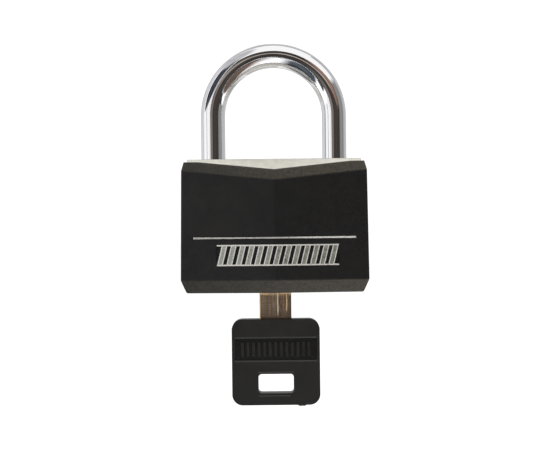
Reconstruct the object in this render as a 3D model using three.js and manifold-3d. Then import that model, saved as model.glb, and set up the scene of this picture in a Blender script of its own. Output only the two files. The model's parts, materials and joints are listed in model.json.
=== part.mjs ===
// Keyed padlock: a solid metal body in a moulded cover, a bow shackle, a four-pin cylinder and its key.
// Millimetres, +Z up, the front faces -Y. Shapes are drawn in the lock's own frame, where z = 0 is the
// top of the metal body and a depth is a distance below it. The last lines lift the whole lock so that
// the inside top of the shackle, where a hanging lock rests on its staple, is the origin.

import * as THREE from 'three';
import { ConvexGeometry } from 'three/addons/geometries/ConvexGeometry.js';
import { mergeVertices } from 'three/addons/utils/BufferGeometryUtils.js';
import Module from 'manifold-3d';

const wasm = await Module();
wasm.setup();

// ---------- driving dimensions ----------

const GAP = 0.3;            // room between pieces that are fitted together
const FINE_GAP = 0.15;      // room between small pieces that run on each other
const ROUND = 32;           // sides of a large round piece
const SMALL_ROUND = 16;     // sides of a small round piece
const CORNER_STEPS = 6;     // sides of a rounded corner
const SHACKLE_STEPS = 50;   // rings along the shackle
const SHACKLE_HALF_SIDES = 12;  // half the sides of the shackle's round section
const COIL_STEPS = 9;       // rings in one turn of a coil
const COIL_HALF_SIDES = 3;  // half the sides of a spring wire's section
const PAST = 1;             // how far a cutter runs past the surface that it opens
const OVERLAP = 0.1;        // how far two joined shapes run into each other
const WELD = 1e-4;          // corners closer than this are one corner

// metal body, a six-sided block whose front and back each have two facets that meet on a centre ridge
const FACET_SLOPE = 0.097;
const BLOCK = { halfWidth: 20.15, ridge: 8.3, height: 29.45, topHalfDepth: 5.43 };

// moulded cover
const COVER = {
  ridge: 9.7,
  shoulderHalfWidth: 21.4,
  baseHalfWidth: 21.72,
  bottom: 30.95,
  baseBand: 3.0,            // height of the band that narrows towards the base, and how far it narrows
  baseInset: 1.02,
  footBand: 0.6,            // the same for the small step at its foot
  footInset: 1.35,
  floor: 1.2,
  lip: 0.3,
  lipHalfWidth: 20.83,
  lipDepth: 2.87,
  shoulderDepth: 5.05,
  vSlope: 0.105,            // how steeply the lip and the shoulder rise from the ridge to the sides
};

// shackle
const SHACKLE = { radius: 2.85, legX: 14.25, clearance: 21.7, heelDepth: 22.9, toeDepth: 9.2, lift: 10 };
const LEG_BORE = { radius: 3.05, heelDepth: 27.7, toeDepth: 9.6 };
const NECK = { radius: 1.8, top: 8.9, bottom: 20.7 };
const SHACKLE_PIN = { radius: 0.6, depth: 9.9, halfLength: 6.6 };

// locking dogs and the channel that they slide in
const DOG = {
  top: 2.6,
  bottom: 4.9,
  halfWidth: 3.1,
  tipX: 12.4,
  bodyX: 7.2,
  armEndX: 0.1,
  armY: 0.2,
  travel: 3.5,
  slotEase: 0.08,           // extra room beside the crank pin, whose motion isn't quite even
  slotEnd: 0.2,
};
const NOTCH_CLEARANCE = 0.15;

// cylinder
const POCKET_TOP = 5.2;
const CYLINDER_FACE = 30.75;
const HOUSING = { radius: 7.0, top: 12.7, wall: 1.0, bore: 6.0, tailBore: 3.3 };
const RIB = { endX: 14.8, halfWidth: 2.6, top: 14.0, bottom: 28.3 };
const CHAMBER_STRIP = { innerX: 13.2, thick: 1.3, halfWidth: 1.75, margin: 0.2 };
const PLUG = { radius: 5.7, top: 14.0, tailRadius: 3.0, tailTop: 11.5, tongueTop: 10.0 };
const TONGUE = { halfWidth: 2.6, halfThick: 1.0 };
const KEYWAY = { halfWidth: 4.05, halfDepth: 1.3, top: 14.7 };
const WARD = { x: 1.75, halfWidth: 0.8, face: 0.85 };
const CLIP = { top: 11.9, bottom: 12.4, inner: 2.45, outer: 4.8, mouth: 1.7, play: 0.1 };
const CAM = { shaftRadius: 4.2, shaftBottom: 11.2, discRadius: 5.2, discBottom: 7.2, discTop: 5.5 };
const CRANK = { radius: 2.475, angle: 45, pinRadius: 0.6, pinTop: 2.8 };
const HOUSING_PIN = { radius: 0.75, x: -7.2, depth: 27.5, halfLength: 6.9 };

// pin tumblers, from the key's head to its tip
const PIN_DEPTHS = [25.8, 22.6, 19.4, 16.2];
const CUT_EDGES = [3.2, 2.6, 2.0, 1.4];
const PIN = { radius: 1.15, bore: 1.35, point: 0.4, cone: 0.6, lift: 0.2, shear: 5.55 };
const DRIVER = { start: 5.9, end: 9.05, cone: 0.1 };
const PIN_SPRING = { start: 9.2, end: 13.1, radius: 0.9, wire: 0.16, turns: 5 };
const EJECTOR = { top: 23.2, bottom: 27.4, radius: 2.15, wire: 0.35, turns: 3 };

// key
const KEY = {
  halfWidth: 3.75,
  halfThick: 1.05,
  tip: 15.0,
  tipChamfer: 1.2,
  tipRelief: 0.4,
  cutHalf: 0.8,
  shoulderRamp: 2.2,
  headTop: 37.4,
  headWidth: 20.65,
  headHeight: 20.15,
  headHalfThick: 2.05,
  cornerRadius: 2.5,
  holeWidth: 8.3,
  holeHeight: 4.5,
  holeTop: 12.85,
  holeCornerRadius: 0.6,
  tangHalfWidth: 6.0,
  tangLength: 10.6,
};
const KEY_GROOVE = { halfWidth: 1.1, deep: 0.35, length: 5.6 };
const GRIP_PANEL = { top: 4.5, bottom: 9.6, halfWidth: 9.6, deep: 0.3 };
const GATE_MARK = { left: 4.9, right: 7.2, halfThick: 1.0, proud: 0.4 };

// trim set into the front of the cover
const STRIP = { depth: 18.25, halfHeight: 0.23, halfWidth: 18.7, thick: 0.3 };
const BADGE = { top: 19.8, bottom: 24.65, left: -13.3, right: 14.7, rail: 0.32, thick: 0.3 };
const BADGE_BARS = { count: 13, width: 1.3, slant: 1.2 };
const TRIM_RECESS = 0.5;

// ---------- materials ----------

function finish(color, roughness, metalness) {
  return new THREE.MeshStandardMaterial({ color, roughness, metalness });
}

const aluminium = () => finish(0xd6d3ca, 0.4, 1);
const chrome = () => finish(0xdfe0e2, 0.12, 1);
const blackCover = () => finish(0x252525, 0.5, 0);
const silverTrim = () => finish(0xd2d2d2, 0.3, 1);
const steel = () => finish(0x9a9a9c, 0.35, 1);
const springSteel = () => finish(0x85878a, 0.3, 1);
const brass = () => finish(0xc0a060, 0.35, 1);
const nickelBrass = () => finish(0x8f7f68, 0.3, 1);
const keyPlastic = () => finish(0x272624, 0.55, 0);

// ---------- solids ----------

function toSolid(geometry) {
  const bare = geometry.clone();
  bare.deleteAttribute('normal');
  bare.deleteAttribute('uv');
  const merged = mergeVertices(bare, WELD);
  const vertProperties = Float32Array.from(merged.attributes.position.array);
  const triVerts = Uint32Array.from(merged.index.array);
  return new wasm.Manifold(new wasm.Mesh({ numProp: 3, vertProperties, triVerts }));
}

function toGeometry(solid) {
  const mesh = solid.getMesh();
  const geometry = new THREE.BufferGeometry();
  geometry.setAttribute('position', new THREE.BufferAttribute(mesh.vertProperties, 3));
  geometry.setIndex(new THREE.BufferAttribute(mesh.triVerts, 1));
  const faceted = geometry.toNonIndexed();
  faceted.computeVertexNormals();
  return faceted;
}

function box([x0, x1], [y0, y1], [top, bottom]) {
  const geometry = new THREE.BoxGeometry(x1 - x0, y1 - y0, bottom - top);
  geometry.translate((x0 + x1) / 2, (y0 + y1) / 2, -(top + bottom) / 2);
  return toSolid(geometry);
}

// an upright round bar between two depths, centred on (x, y)
function post(radius, top, bottom, x = 0, y = 0, sides = ROUND) {
  const geometry = new THREE.CylinderGeometry(radius, radius, bottom - top, sides);
  geometry.rotateX(Math.PI / 2);
  geometry.translate(x, y, -(top + bottom) / 2);
  return toSolid(geometry);
}

// a round bar along X at a depth
function barX(radius, x0, x1, depth, sides = SMALL_ROUND) {
  const geometry = new THREE.CylinderGeometry(radius, radius, x1 - x0, sides);
  geometry.rotateZ(Math.PI / 2);
  geometry.translate((x0 + x1) / 2, 0, -depth);
  return toSolid(geometry);
}

// a round bar along Y at a depth, from front to back
function barY(radius, halfLength, x, depth, sides = SMALL_ROUND) {
  const geometry = new THREE.CylinderGeometry(radius, radius, halfLength * 2, sides);
  geometry.translate(x, 0, -depth);
  return toSolid(geometry);
}

function hull(points) {
  return toSolid(new ConvexGeometry(points.map((p) => new THREE.Vector3(...p))));
}

function outline(points) {
  return new THREE.Shape(points.map(([x, y]) => new THREE.Vector2(x, y)));
}

// an outline in plan, between two depths
function planPrism(shape, top, bottom) {
  const geometry = new THREE.ExtrudeGeometry(shape, { depth: bottom - top, bevelEnabled: false });
  geometry.translate(0, 0, -bottom);
  return toSolid(geometry);
}

// an outline in (x, z) as seen from the front, between two y values
function frontPrism(shape, y0, y1) {
  const settings = { depth: y1 - y0, bevelEnabled: false, curveSegments: CORNER_STEPS };
  const geometry = new THREE.ExtrudeGeometry(shape, settings);
  geometry.rotateX(Math.PI / 2);
  geometry.translate(0, y1, 0);
  return toSolid(geometry);
}

function cut(solid, ...cutters) {
  return cutters.reduce((rest, cutter) => rest.subtract(cutter), solid);
}

function join(solid, ...others) {
  return others.reduce((whole, other) => whole.add(other), solid);
}

function named(name, shape, material) {
  const geometry = shape.isBufferGeometry ? shape : toGeometry(shape);
  const mesh = new THREE.Mesh(geometry, material);
  mesh.name = name;
  return mesh;
}

// the distance from the middle plane to a facet whose ridge stands at `ridge`
function facetAt(ridge, x) {
  return ridge - FACET_SLOPE * Math.abs(x);
}

// the six corners of a faceted plan
function facetedPlan(halfWidth, ridge) {
  const side = facetAt(ridge, halfWidth);
  return outline([
    [-halfWidth, -side],
    [0, -ridge],
    [halfWidth, -side],
    [halfWidth, side],
    [0, ridge],
    [-halfWidth, side],
  ]);
}

// the same six corners as points at a depth that may differ between the ridge and the sides
function facetedRing(halfWidth, ridge, ridgeDepth, sideDepth) {
  const side = facetAt(ridge, halfWidth);
  const points = [];
  for (const face of [-1, 1]) {
    points.push([0, face * ridge, -ridgeDepth]);
    points.push([halfWidth, face * side, -sideDepth]);
    points.push([-halfWidth, face * side, -sideDepth]);
  }
  return points;
}

// ---------- curves ----------

// the shackle's centre line: up the heel leg, over the bow and down the toe leg
class ShackleLine extends THREE.Curve {
  getPoint(t, target = new THREE.Vector3()) {
    const bowZ = SHACKLE.clearance + SHACKLE.radius - SHACKLE.legX;
    const heel = bowZ + SHACKLE.heelDepth;
    const bow = Math.PI * SHACKLE.legX;
    const toe = bowZ + SHACKLE.toeDepth;
    const along = t * (heel + bow + toe);
    if (along < heel) {
      return target.set(-SHACKLE.legX, 0, along - SHACKLE.heelDepth);
    }
    if (along < heel + bow) {
      const angle = (along - heel) / SHACKLE.legX;
      return target.set(-SHACKLE.legX * Math.cos(angle), 0, bowZ + SHACKLE.legX * Math.sin(angle));
    }
    return target.set(SHACKLE.legX, 0, bowZ - (along - heel - bow));
  }
}

// a coil that rises along +Z from the origin
class Coil extends THREE.Curve {
  constructor(radius, height, turns) {
    super();
    this.radius = radius;
    this.height = height;
    this.turns = turns;
  }

  getPoint(t, target = new THREE.Vector3()) {
    const angle = t * this.turns * Math.PI * 2;
    return target.set(this.radius * Math.cos(angle), this.radius * Math.sin(angle), t * this.height);
  }
}

function alongCurve(curve, wireRadius, steps, curveSegments) {
  const section = new THREE.Shape();
  section.absarc(0, 0, wireRadius, 0, Math.PI * 2);
  return toSolid(new THREE.ExtrudeGeometry(section, { steps, curveSegments, extrudePath: curve }));
}

// a compression spring standing on z = 0, `height` tall over its wire
function spring({ radius, wire, turns }, height) {
  const line = new Coil(radius, height - 2 * wire, turns);
  return alongCurve(line, wire, turns * COIL_STEPS, COIL_HALF_SIDES).translate([0, 0, wire]);
}

// ---------- body ----------

function legBores() {
  return [
    post(LEG_BORE.radius, -PAST, LEG_BORE.heelDepth, -SHACKLE.legX),
    post(LEG_BORE.radius, -PAST, LEG_BORE.toeDepth, SHACKLE.legX),
  ];
}

function bodyBlock() {
  const { halfWidth, ridge, height, topHalfDepth } = BLOCK;
  const side = facetAt(ridge, halfWidth);
  const corners = [
    ...facetedRing(halfWidth, ridge, height, height),
    ...facetedRing(halfWidth, ridge, ridge - topHalfDepth, side - topHalfDepth),
  ];
  for (const x of [-halfWidth, halfWidth]) {
    corners.push([x, -topHalfDepth, 0], [x, topHalfDepth, 0]);
  }
  const channelHalfWidth = DOG.halfWidth + GAP;
  return cut(
    hull(corners),
    ...legBores(),
    box([-SHACKLE.legX, SHACKLE.legX], [-channelHalfWidth, channelHalfWidth], [DOG.top - GAP, POCKET_TOP]),
    post(HOUSING.radius + GAP, POCKET_TOP - OVERLAP, height + PAST),
    box([0, RIB.endX + GAP], [-RIB.halfWidth - GAP, RIB.halfWidth + GAP], [RIB.top - GAP, height + PAST]),
    barY(HOUSING_PIN.radius + FINE_GAP, ridge + PAST, HOUSING_PIN.x, HOUSING_PIN.depth),
    barY(SHACKLE_PIN.radius + FINE_GAP, ridge + PAST, shacklePinX(), SHACKLE_PIN.depth),
  );
}

function coverShell() {
  const { ridge, shoulderHalfWidth, baseHalfWidth, bottom, baseBand, baseInset, footBand, footInset } = COVER;
  const lipRidge = BLOCK.ridge + GAP + COVER.lip;
  const shoulderSide = COVER.shoulderDepth - COVER.vSlope * shoulderHalfWidth;
  const lipSide = COVER.lipDepth - COVER.vSlope * COVER.lipHalfWidth;
  return hull([
    ...facetedRing(COVER.lipHalfWidth, lipRidge, COVER.lipDepth, lipSide),
    ...facetedRing(shoulderHalfWidth, ridge, COVER.shoulderDepth, shoulderSide),
    ...facetedRing(baseHalfWidth, ridge, bottom - baseBand, bottom - baseBand),
    ...facetedRing(baseHalfWidth - baseInset, ridge - baseInset, bottom - footBand, bottom - footBand),
    ...facetedRing(baseHalfWidth - footInset, ridge - footInset, bottom, bottom),
  ]);
}

// the layer of the cover's front between its surface and `deep` below it
function frontLayer(proud, deep, top, bottom) {
  const reach = COVER.baseHalfWidth;
  const outer = COVER.ridge + proud;
  const inner = COVER.ridge - deep;
  const shape = outline([
    [-reach, -facetAt(outer, reach)],
    [0, -outer],
    [reach, -facetAt(outer, reach)],
    [reach, -facetAt(inner, reach)],
    [0, -inner],
    [-reach, -facetAt(inner, reach)],
  ]);
  return planPrism(shape, top, bottom);
}

function trimRecess(left, right, top, bottom) {
  const deep = frontLayer(PAST, TRIM_RECESS, top - FINE_GAP, bottom + FINE_GAP);
  const window = box(
    [left - FINE_GAP, right + FINE_GAP],
    [-COVER.ridge - 2 * PAST, 0],
    [top - PAST, bottom + PAST],
  );
  return deep.intersect(window);
}

function bodyCover() {
  const floorTop = COVER.bottom - COVER.floor;
  const stripTop = STRIP.depth - STRIP.halfHeight;
  const stripBottom = STRIP.depth + STRIP.halfHeight;
  return cut(
    coverShell(),
    planPrism(facetedPlan(BLOCK.halfWidth + GAP, BLOCK.ridge + GAP), -PAST, floorTop),
    post(HOUSING.radius + GAP, floorTop - PAST, COVER.bottom + PAST),
    trimRecess(-STRIP.halfWidth, STRIP.halfWidth, stripTop, stripBottom),
    trimRecess(BADGE.left, BADGE.right, BADGE.top, BADGE.bottom),
  );
}

function accentStrip() {
  const top = STRIP.depth - STRIP.halfHeight;
  const bottom = STRIP.depth + STRIP.halfHeight;
  const window = box(
    [-STRIP.halfWidth, STRIP.halfWidth],
    [-COVER.ridge - PAST, 0],
    [top - PAST, bottom + PAST],
  );
  return frontLayer(0, STRIP.thick, top, bottom).intersect(window);
}

// a plain ladder of slanted bars between two rails
function badge() {
  const { left, right, top, bottom, rail } = BADGE;
  const { count, width, slant } = BADGE_BARS;
  const reach = [-COVER.ridge - PAST, 0];
  const pieces = [box([left, right], reach, [bottom - rail, bottom])];
  const pitch = (right - left - width - slant) / (count - 1);
  for (let i = 0; i < count; i += 1) {
    const x = left + i * pitch;
    const bar = outline([[x, -bottom], [x + width, -bottom], [x + width + slant, -top], [x + slant, -top]]);
    pieces.push(frontPrism(bar, ...reach));
  }
  const ladder = join(box([left, right], reach, [top, top + rail]), ...pieces);
  return ladder.intersect(frontLayer(0, BADGE.thick, top - PAST, bottom + PAST));
}

// ---------- shackle ----------

function shacklePinX() {
  return -SHACKLE.legX + NECK.radius + SHACKLE_PIN.radius + FINE_GAP;
}

// the notch that a dog enters: square at the top, with a lower ramp that the rising leg clears the dog by
function dogNotch(side) {
  const legInside = SHACKLE.legX - SHACKLE.radius;
  const floor = DOG.tipX + NOTCH_CLEARANCE;
  const rampStart = DOG.bottom + NOTCH_CLEARANCE;
  const rampEnd = rampStart + (floor - legInside) * (SHACKLE.lift / DOG.travel);
  const top = DOG.top - NOTCH_CLEARANCE;
  const outside = legInside - PAST;
  const points = [
    [outside, -top],
    [floor, -top],
    [floor, -rampStart],
    [legInside, -rampEnd],
    [outside, -rampEnd],
  ];
  const shape = outline(points.map(([x, z]) => [side * x, z]));
  return frontPrism(shape, -SHACKLE.radius - PAST, SHACKLE.radius + PAST);
}

function shackle() {
  const bar = alongCurve(new ShackleLine(), SHACKLE.radius, SHACKLE_STEPS, SHACKLE_HALF_SIDES);
  const around = post(SHACKLE.radius + PAST, NECK.top, NECK.bottom, -SHACKLE.legX);
  const neck = post(NECK.radius, NECK.top - PAST, NECK.bottom + PAST, -SHACKLE.legX);
  return cut(bar, cut(around, neck), dogNotch(-1), dogNotch(1));
}

// ---------- locking dogs ----------

function crankAt(degrees) {
  const angle = THREE.MathUtils.degToRad(degrees);
  return [CRANK.radius * Math.cos(angle), CRANK.radius * Math.sin(angle)];
}

// side 1 is the dog at the toe leg, whose arm runs behind the axis, and side -1 is its half-turn copy
function lockingDog(side) {
  const { tipX, bodyX, armEndX, armY, halfWidth, top, bottom } = DOG;
  const [pinX, pinY] = crankAt(CRANK.angle);
  const slotHalf = CRANK.pinRadius + FINE_GAP + DOG.slotEase;
  const slotFloor = pinY - CRANK.pinRadius - DOG.slotEnd;
  const shape = outline([
    [bodyX, -halfWidth],
    [tipX, -halfWidth],
    [tipX, halfWidth],
    [pinX + slotHalf, halfWidth],
    [pinX + slotHalf, slotFloor],
    [pinX - slotHalf, slotFloor],
    [pinX - slotHalf, halfWidth],
    [armEndX, halfWidth],
    [armEndX, armY],
    [bodyX, armY],
  ].map(([x, y]) => [side * x, side * y]));
  return planPrism(shape, top, bottom);
}

// ---------- cylinder ----------

function pinBores(x0, x1) {
  return PIN_DEPTHS.map((depth) => barX(PIN.bore, x0, x1, depth));
}

function stripSpan() {
  const edge = PIN.bore + CHAMBER_STRIP.margin;
  return [PIN_DEPTHS.at(-1) - edge, PIN_DEPTHS[0] + edge];
}

function cylinderHousing() {
  const [stripTop, stripBottom] = stripSpan();
  const { innerX, halfWidth } = CHAMBER_STRIP;
  const rebate = box(
    [innerX, RIB.endX + PAST],
    [-halfWidth - FINE_GAP, halfWidth + FINE_GAP],
    [stripTop - FINE_GAP, stripBottom + FINE_GAP],
  );
  return cut(
    join(
      post(HOUSING.radius, HOUSING.top, CYLINDER_FACE),
      box([0, RIB.endX], [-RIB.halfWidth, RIB.halfWidth], [RIB.top, RIB.bottom]),
    ),
    post(HOUSING.bore, HOUSING.top + HOUSING.wall, CYLINDER_FACE + PAST),
    post(HOUSING.tailBore, HOUSING.top - PAST, HOUSING.top + HOUSING.wall + PAST, 0, 0, SMALL_ROUND),
    rebate,
    ...pinBores(0, innerX + PAST / 2),
    barY(HOUSING_PIN.radius + FINE_GAP, HOUSING.radius + PAST, HOUSING_PIN.x, HOUSING_PIN.depth),
  );
}

function chamberCover() {
  const [top, bottom] = stripSpan();
  const { innerX, thick, halfWidth } = CHAMBER_STRIP;
  return box([innerX + FINE_GAP, innerX + FINE_GAP + thick], [-halfWidth, halfWidth], [top, bottom]);
}

function clipGroove() {
  const radius = CLIP.inner - FINE_GAP;
  const top = CLIP.top - CLIP.play;
  const bottom = CLIP.bottom + CLIP.play;
  return cut(
    post(PLUG.tailRadius + PAST, top, bottom, 0, 0, SMALL_ROUND),
    post(radius, top - PAST, bottom + PAST, 0, 0, SMALL_ROUND),
  );
}

function plugBody() {
  const round = join(
    post(PLUG.radius, PLUG.top, CYLINDER_FACE),
    post(PLUG.tailRadius, PLUG.tailTop, PLUG.top + PAST, 0, 0, SMALL_ROUND),
    box(
      [-TONGUE.halfWidth, TONGUE.halfWidth],
      [-TONGUE.halfThick, TONGUE.halfThick],
      [PLUG.tongueTop, PLUG.tailTop + OVERLAP],
    ),
  );
  const keyway = box(
    [-KEYWAY.halfWidth, KEYWAY.halfWidth],
    [-KEYWAY.halfDepth, KEYWAY.halfDepth],
    [KEYWAY.top, CYLINDER_FACE + PAST],
  );
  const ward = box(
    [WARD.x - WARD.halfWidth, WARD.x + WARD.halfWidth],
    [-KEYWAY.halfDepth - OVERLAP, -WARD.face],
    [KEYWAY.top - OVERLAP, CYLINDER_FACE],
  );
  return cut(join(cut(round, clipGroove(), keyway), ward), ...pinBores(0, PLUG.radius + PAST));
}

function plugClip() {
  const ring = cut(
    post(CLIP.outer, CLIP.top, CLIP.bottom, 0, 0, SMALL_ROUND),
    post(CLIP.inner, CLIP.top - PAST, CLIP.bottom + PAST, 0, 0, SMALL_ROUND),
  );
  const mouth = box(
    [0, CLIP.outer + PAST],
    [-CLIP.mouth, CLIP.mouth],
    [CLIP.top - PAST, CLIP.bottom + PAST],
  );
  return cut(ring, mouth);
}

function driveCam() {
  const crankPins = [crankAt(CRANK.angle), crankAt(CRANK.angle + 180)].map(([x, y]) => (
    post(CRANK.pinRadius, CRANK.pinTop, CAM.discTop + OVERLAP, x, y, SMALL_ROUND)
  ));
  const slotHalf = TONGUE.halfThick + GAP;
  const slotTop = PLUG.tongueTop - GAP;
  return cut(
    join(
      post(CAM.shaftRadius, CAM.discBottom - OVERLAP, CAM.shaftBottom),
      post(CAM.discRadius, CAM.discTop, CAM.discBottom),
      ...crankPins,
    ),
    box([-CAM.discRadius, CAM.discRadius], [-slotHalf, slotHalf], [slotTop, CAM.shaftBottom + PAST]),
  );
}

// ---------- pin tumblers ----------

// a pin along +Z from its blunt tip at the origin, with a cone of the given height behind the tip
function tumbler(length, cone) {
  const profile = [
    [0, 0],
    [PIN.point, 0],
    [PIN.radius, cone],
    [PIN.radius, length],
    [0, length],
  ];
  const geometry = new THREE.LatheGeometry(profile.map(([r, z]) => new THREE.Vector2(r, z)), SMALL_ROUND);
  geometry.rotateX(Math.PI / 2);
  return toSolid(geometry);
}

// lays a piece that stands along +Z down along +X, starting at x
function laidAlongX(mesh, x, depth) {
  mesh.rotation.y = Math.PI / 2;
  mesh.position.set(x, 0, -depth);
  return mesh;
}

// ---------- key ----------

function bladeOutline() {
  const { halfWidth, tip, tipChamfer, cutHalf, headTop, tangHalfWidth, tangLength } = KEY;
  const points = [
    [-tangHalfWidth, -headTop - tangLength],
    [tangHalfWidth, -headTop - tangLength],
    [tangHalfWidth, -headTop - GAP],
    [halfWidth, -headTop - GAP],
    [halfWidth, -PIN_DEPTHS[0] - KEY.shoulderRamp],
  ];
  PIN_DEPTHS.forEach((depth, i) => {
    points.push([CUT_EDGES[i], -depth - cutHalf], [CUT_EDGES[i], -depth + cutHalf]);
  });
  points.push(
    [CUT_EDGES.at(-1) - KEY.tipRelief, -tip],
    [-halfWidth + tipChamfer, -tip],
    [-halfWidth, -tip - tipChamfer],
    [-halfWidth, -headTop - GAP],
    [-tangHalfWidth, -headTop - GAP],
  );
  return outline(points);
}

function keyBlade() {
  const groove = box(
    [WARD.x - KEY_GROOVE.halfWidth, WARD.x + KEY_GROOVE.halfWidth],
    [-KEY.halfThick - PAST, -KEY.halfThick + KEY_GROOVE.deep],
    [KEY.tip - PAST, CYLINDER_FACE + KEY_GROOVE.length],
  );
  return cut(frontPrism(bladeOutline(), -KEY.halfThick, KEY.halfThick), groove);
}

function roundedRectangle(width, height, radius, centreZ) {
  const shape = new THREE.Shape();
  const x = width / 2 - radius;
  const z = height / 2 - radius;
  shape.absarc(x, centreZ + z, radius, 0, Math.PI / 2);
  shape.absarc(-x, centreZ + z, radius, Math.PI / 2, Math.PI);
  shape.absarc(-x, centreZ - z, radius, Math.PI, Math.PI * 1.5);
  shape.absarc(x, centreZ - z, radius, Math.PI * 1.5, Math.PI * 2);
  return shape;
}

function keyHead() {
  const { headTop, headWidth, headHeight, headHalfThick, cornerRadius } = KEY;
  const body = roundedRectangle(headWidth, headHeight, cornerRadius, -headTop - headHeight / 2);
  const holeZ = -headTop - KEY.holeTop - KEY.holeHeight / 2;
  const hole = roundedRectangle(KEY.holeWidth, KEY.holeHeight, KEY.holeCornerRadius, holeZ);
  const gateMark = box(
    [GATE_MARK.left, GATE_MARK.right],
    [-GATE_MARK.halfThick, GATE_MARK.halfThick],
    [headTop + headHeight - PAST, headTop + headHeight + GATE_MARK.proud],
  );
  const panels = [-1, 1].map((face) => {
    const near = face * (headHalfThick - GRIP_PANEL.deep);
    const far = face * (headHalfThick + PAST);
    return box(
      [-GRIP_PANEL.halfWidth, GRIP_PANEL.halfWidth],
      [Math.min(near, far), Math.max(near, far)],
      [headTop + GRIP_PANEL.top, headTop + GRIP_PANEL.bottom],
    );
  });
  const pocketHalfWidth = KEY.tangHalfWidth + GAP;
  return cut(
    join(frontPrism(body, -headHalfThick, headHalfThick), gateMark),
    frontPrism(hole, -headHalfThick - PAST, headHalfThick + PAST),
    box(
      [-pocketHalfWidth, pocketHalfWidth],
      [-KEY.halfThick - FINE_GAP, KEY.halfThick + FINE_GAP],
      [headTop - PAST, headTop + KEY.tangLength + GAP],
    ),
    ...panels,
  );
}

// ---------- assembly ----------

const lock = new THREE.Group();

const housingPin = barY(HOUSING_PIN.radius, HOUSING_PIN.halfLength, HOUSING_PIN.x, HOUSING_PIN.depth);
const shacklePin = barY(SHACKLE_PIN.radius, SHACKLE_PIN.halfLength, shacklePinX(), SHACKLE_PIN.depth);

const fixedCase = new THREE.Group();
fixedCase.add(
  named('body_block', bodyBlock(), aluminium()),
  named('body_cover', bodyCover(), blackCover()),
  named('accent_strip', accentStrip(), silverTrim()),
  named('badge', badge(), silverTrim()),
  named('cylinder_housing', cylinderHousing(), brass()),
  named('chamber_cover', chamberCover(), brass()),
  named('cylinder_retaining_pin', housingPin, steel()),
  named('shackle_retaining_pin', shacklePin, steel()),
);

const ejectorSpring = named('ejector_spring', spring(EJECTOR, EJECTOR.bottom - EJECTOR.top), springSteel());
ejectorSpring.position.set(-SHACKLE.legX, 0, -EJECTOR.bottom);
fixedCase.add(ejectorSpring);

const movingShackle = new THREE.Group();
movingShackle.add(named('shackle', shackle(), chrome()));

const dogs = new THREE.Group();
dogs.add(
  named('locking_dog_left', lockingDog(-1), steel()),
  named('locking_dog_right', lockingDog(1), steel()),
);

const turningPlug = new THREE.Group();
turningPlug.add(
  named('plug', plugBody(), brass()),
  named('plug_clip', plugClip(), springSteel()),
  named('drive_cam', driveCam(), steel()),
);

PIN_DEPTHS.forEach((depth, i) => {
  const number = i + 1;
  const tip = CUT_EDGES[i] + PIN.lift;
  const keyPin = named(`key_pin_${number}`, tumbler(PIN.shear - tip, PIN.cone), brass());
  turningPlug.add(laidAlongX(keyPin, tip, depth));
  const driverPin = tumbler(DRIVER.end - DRIVER.start, DRIVER.cone);
  const driver = named(`driver_pin_${number}`, driverPin, nickelBrass());
  fixedCase.add(laidAlongX(driver, DRIVER.start, depth));
  const pinSpring = spring(PIN_SPRING, PIN_SPRING.end - PIN_SPRING.start);
  const coil = named(`pin_spring_${number}`, pinSpring, springSteel());
  fixedCase.add(laidAlongX(coil, PIN_SPRING.start, depth));
});

const key = new THREE.Group();
key.add(
  named('key_blade', keyBlade(), nickelBrass()),
  named('key_head', keyHead(), keyPlastic()),
);
turningPlug.add(key);

lock.add(fixedCase, movingShackle, dogs, turningPlug);
lock.position.z = -SHACKLE.clearance;

export default lock;
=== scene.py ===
"""Looks of a keyed padlock: moulded cover over a metal body, chrome shackle, key in its cylinder.

Shapes are modelled in millimetres in the lock's own frame, where z = 0 is the top of the metal body,
and are moved into the shared frame, in metres, when a piece is finished.
"""
import json
import math

import bmesh
import bpy
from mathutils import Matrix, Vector


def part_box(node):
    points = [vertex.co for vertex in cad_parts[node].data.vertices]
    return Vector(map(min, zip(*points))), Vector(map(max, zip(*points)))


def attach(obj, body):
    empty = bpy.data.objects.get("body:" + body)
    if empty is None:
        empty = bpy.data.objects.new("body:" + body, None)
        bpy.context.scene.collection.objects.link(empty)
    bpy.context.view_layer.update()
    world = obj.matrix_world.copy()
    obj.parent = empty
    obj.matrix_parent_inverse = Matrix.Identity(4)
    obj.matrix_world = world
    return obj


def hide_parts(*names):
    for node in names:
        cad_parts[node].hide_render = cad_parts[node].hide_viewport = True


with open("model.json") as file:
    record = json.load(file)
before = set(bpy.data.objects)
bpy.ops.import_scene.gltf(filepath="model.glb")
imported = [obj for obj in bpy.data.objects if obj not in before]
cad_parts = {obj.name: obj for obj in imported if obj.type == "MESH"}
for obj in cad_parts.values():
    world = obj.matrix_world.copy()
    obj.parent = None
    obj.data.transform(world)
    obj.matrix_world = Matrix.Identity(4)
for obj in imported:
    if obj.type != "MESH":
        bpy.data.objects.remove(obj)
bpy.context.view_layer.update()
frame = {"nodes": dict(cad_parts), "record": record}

# ---------- sizes ----------

MM = 0.001
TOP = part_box("body_block")[1].z
WELD = 1e-4                 # corners closer than this are one corner
SLIVER = 1e-5               # edges shorter than this are closed up
BEYOND = 1                  # how far a cutter runs past the surface that it cuts


def span(node):
    """A CAD node's lowest and highest corners in millimetres, in the lock's own frame."""
    low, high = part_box(node)
    lift = Vector((0, 0, TOP))
    return (low - lift) / MM, (high - lift) / MM


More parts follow.
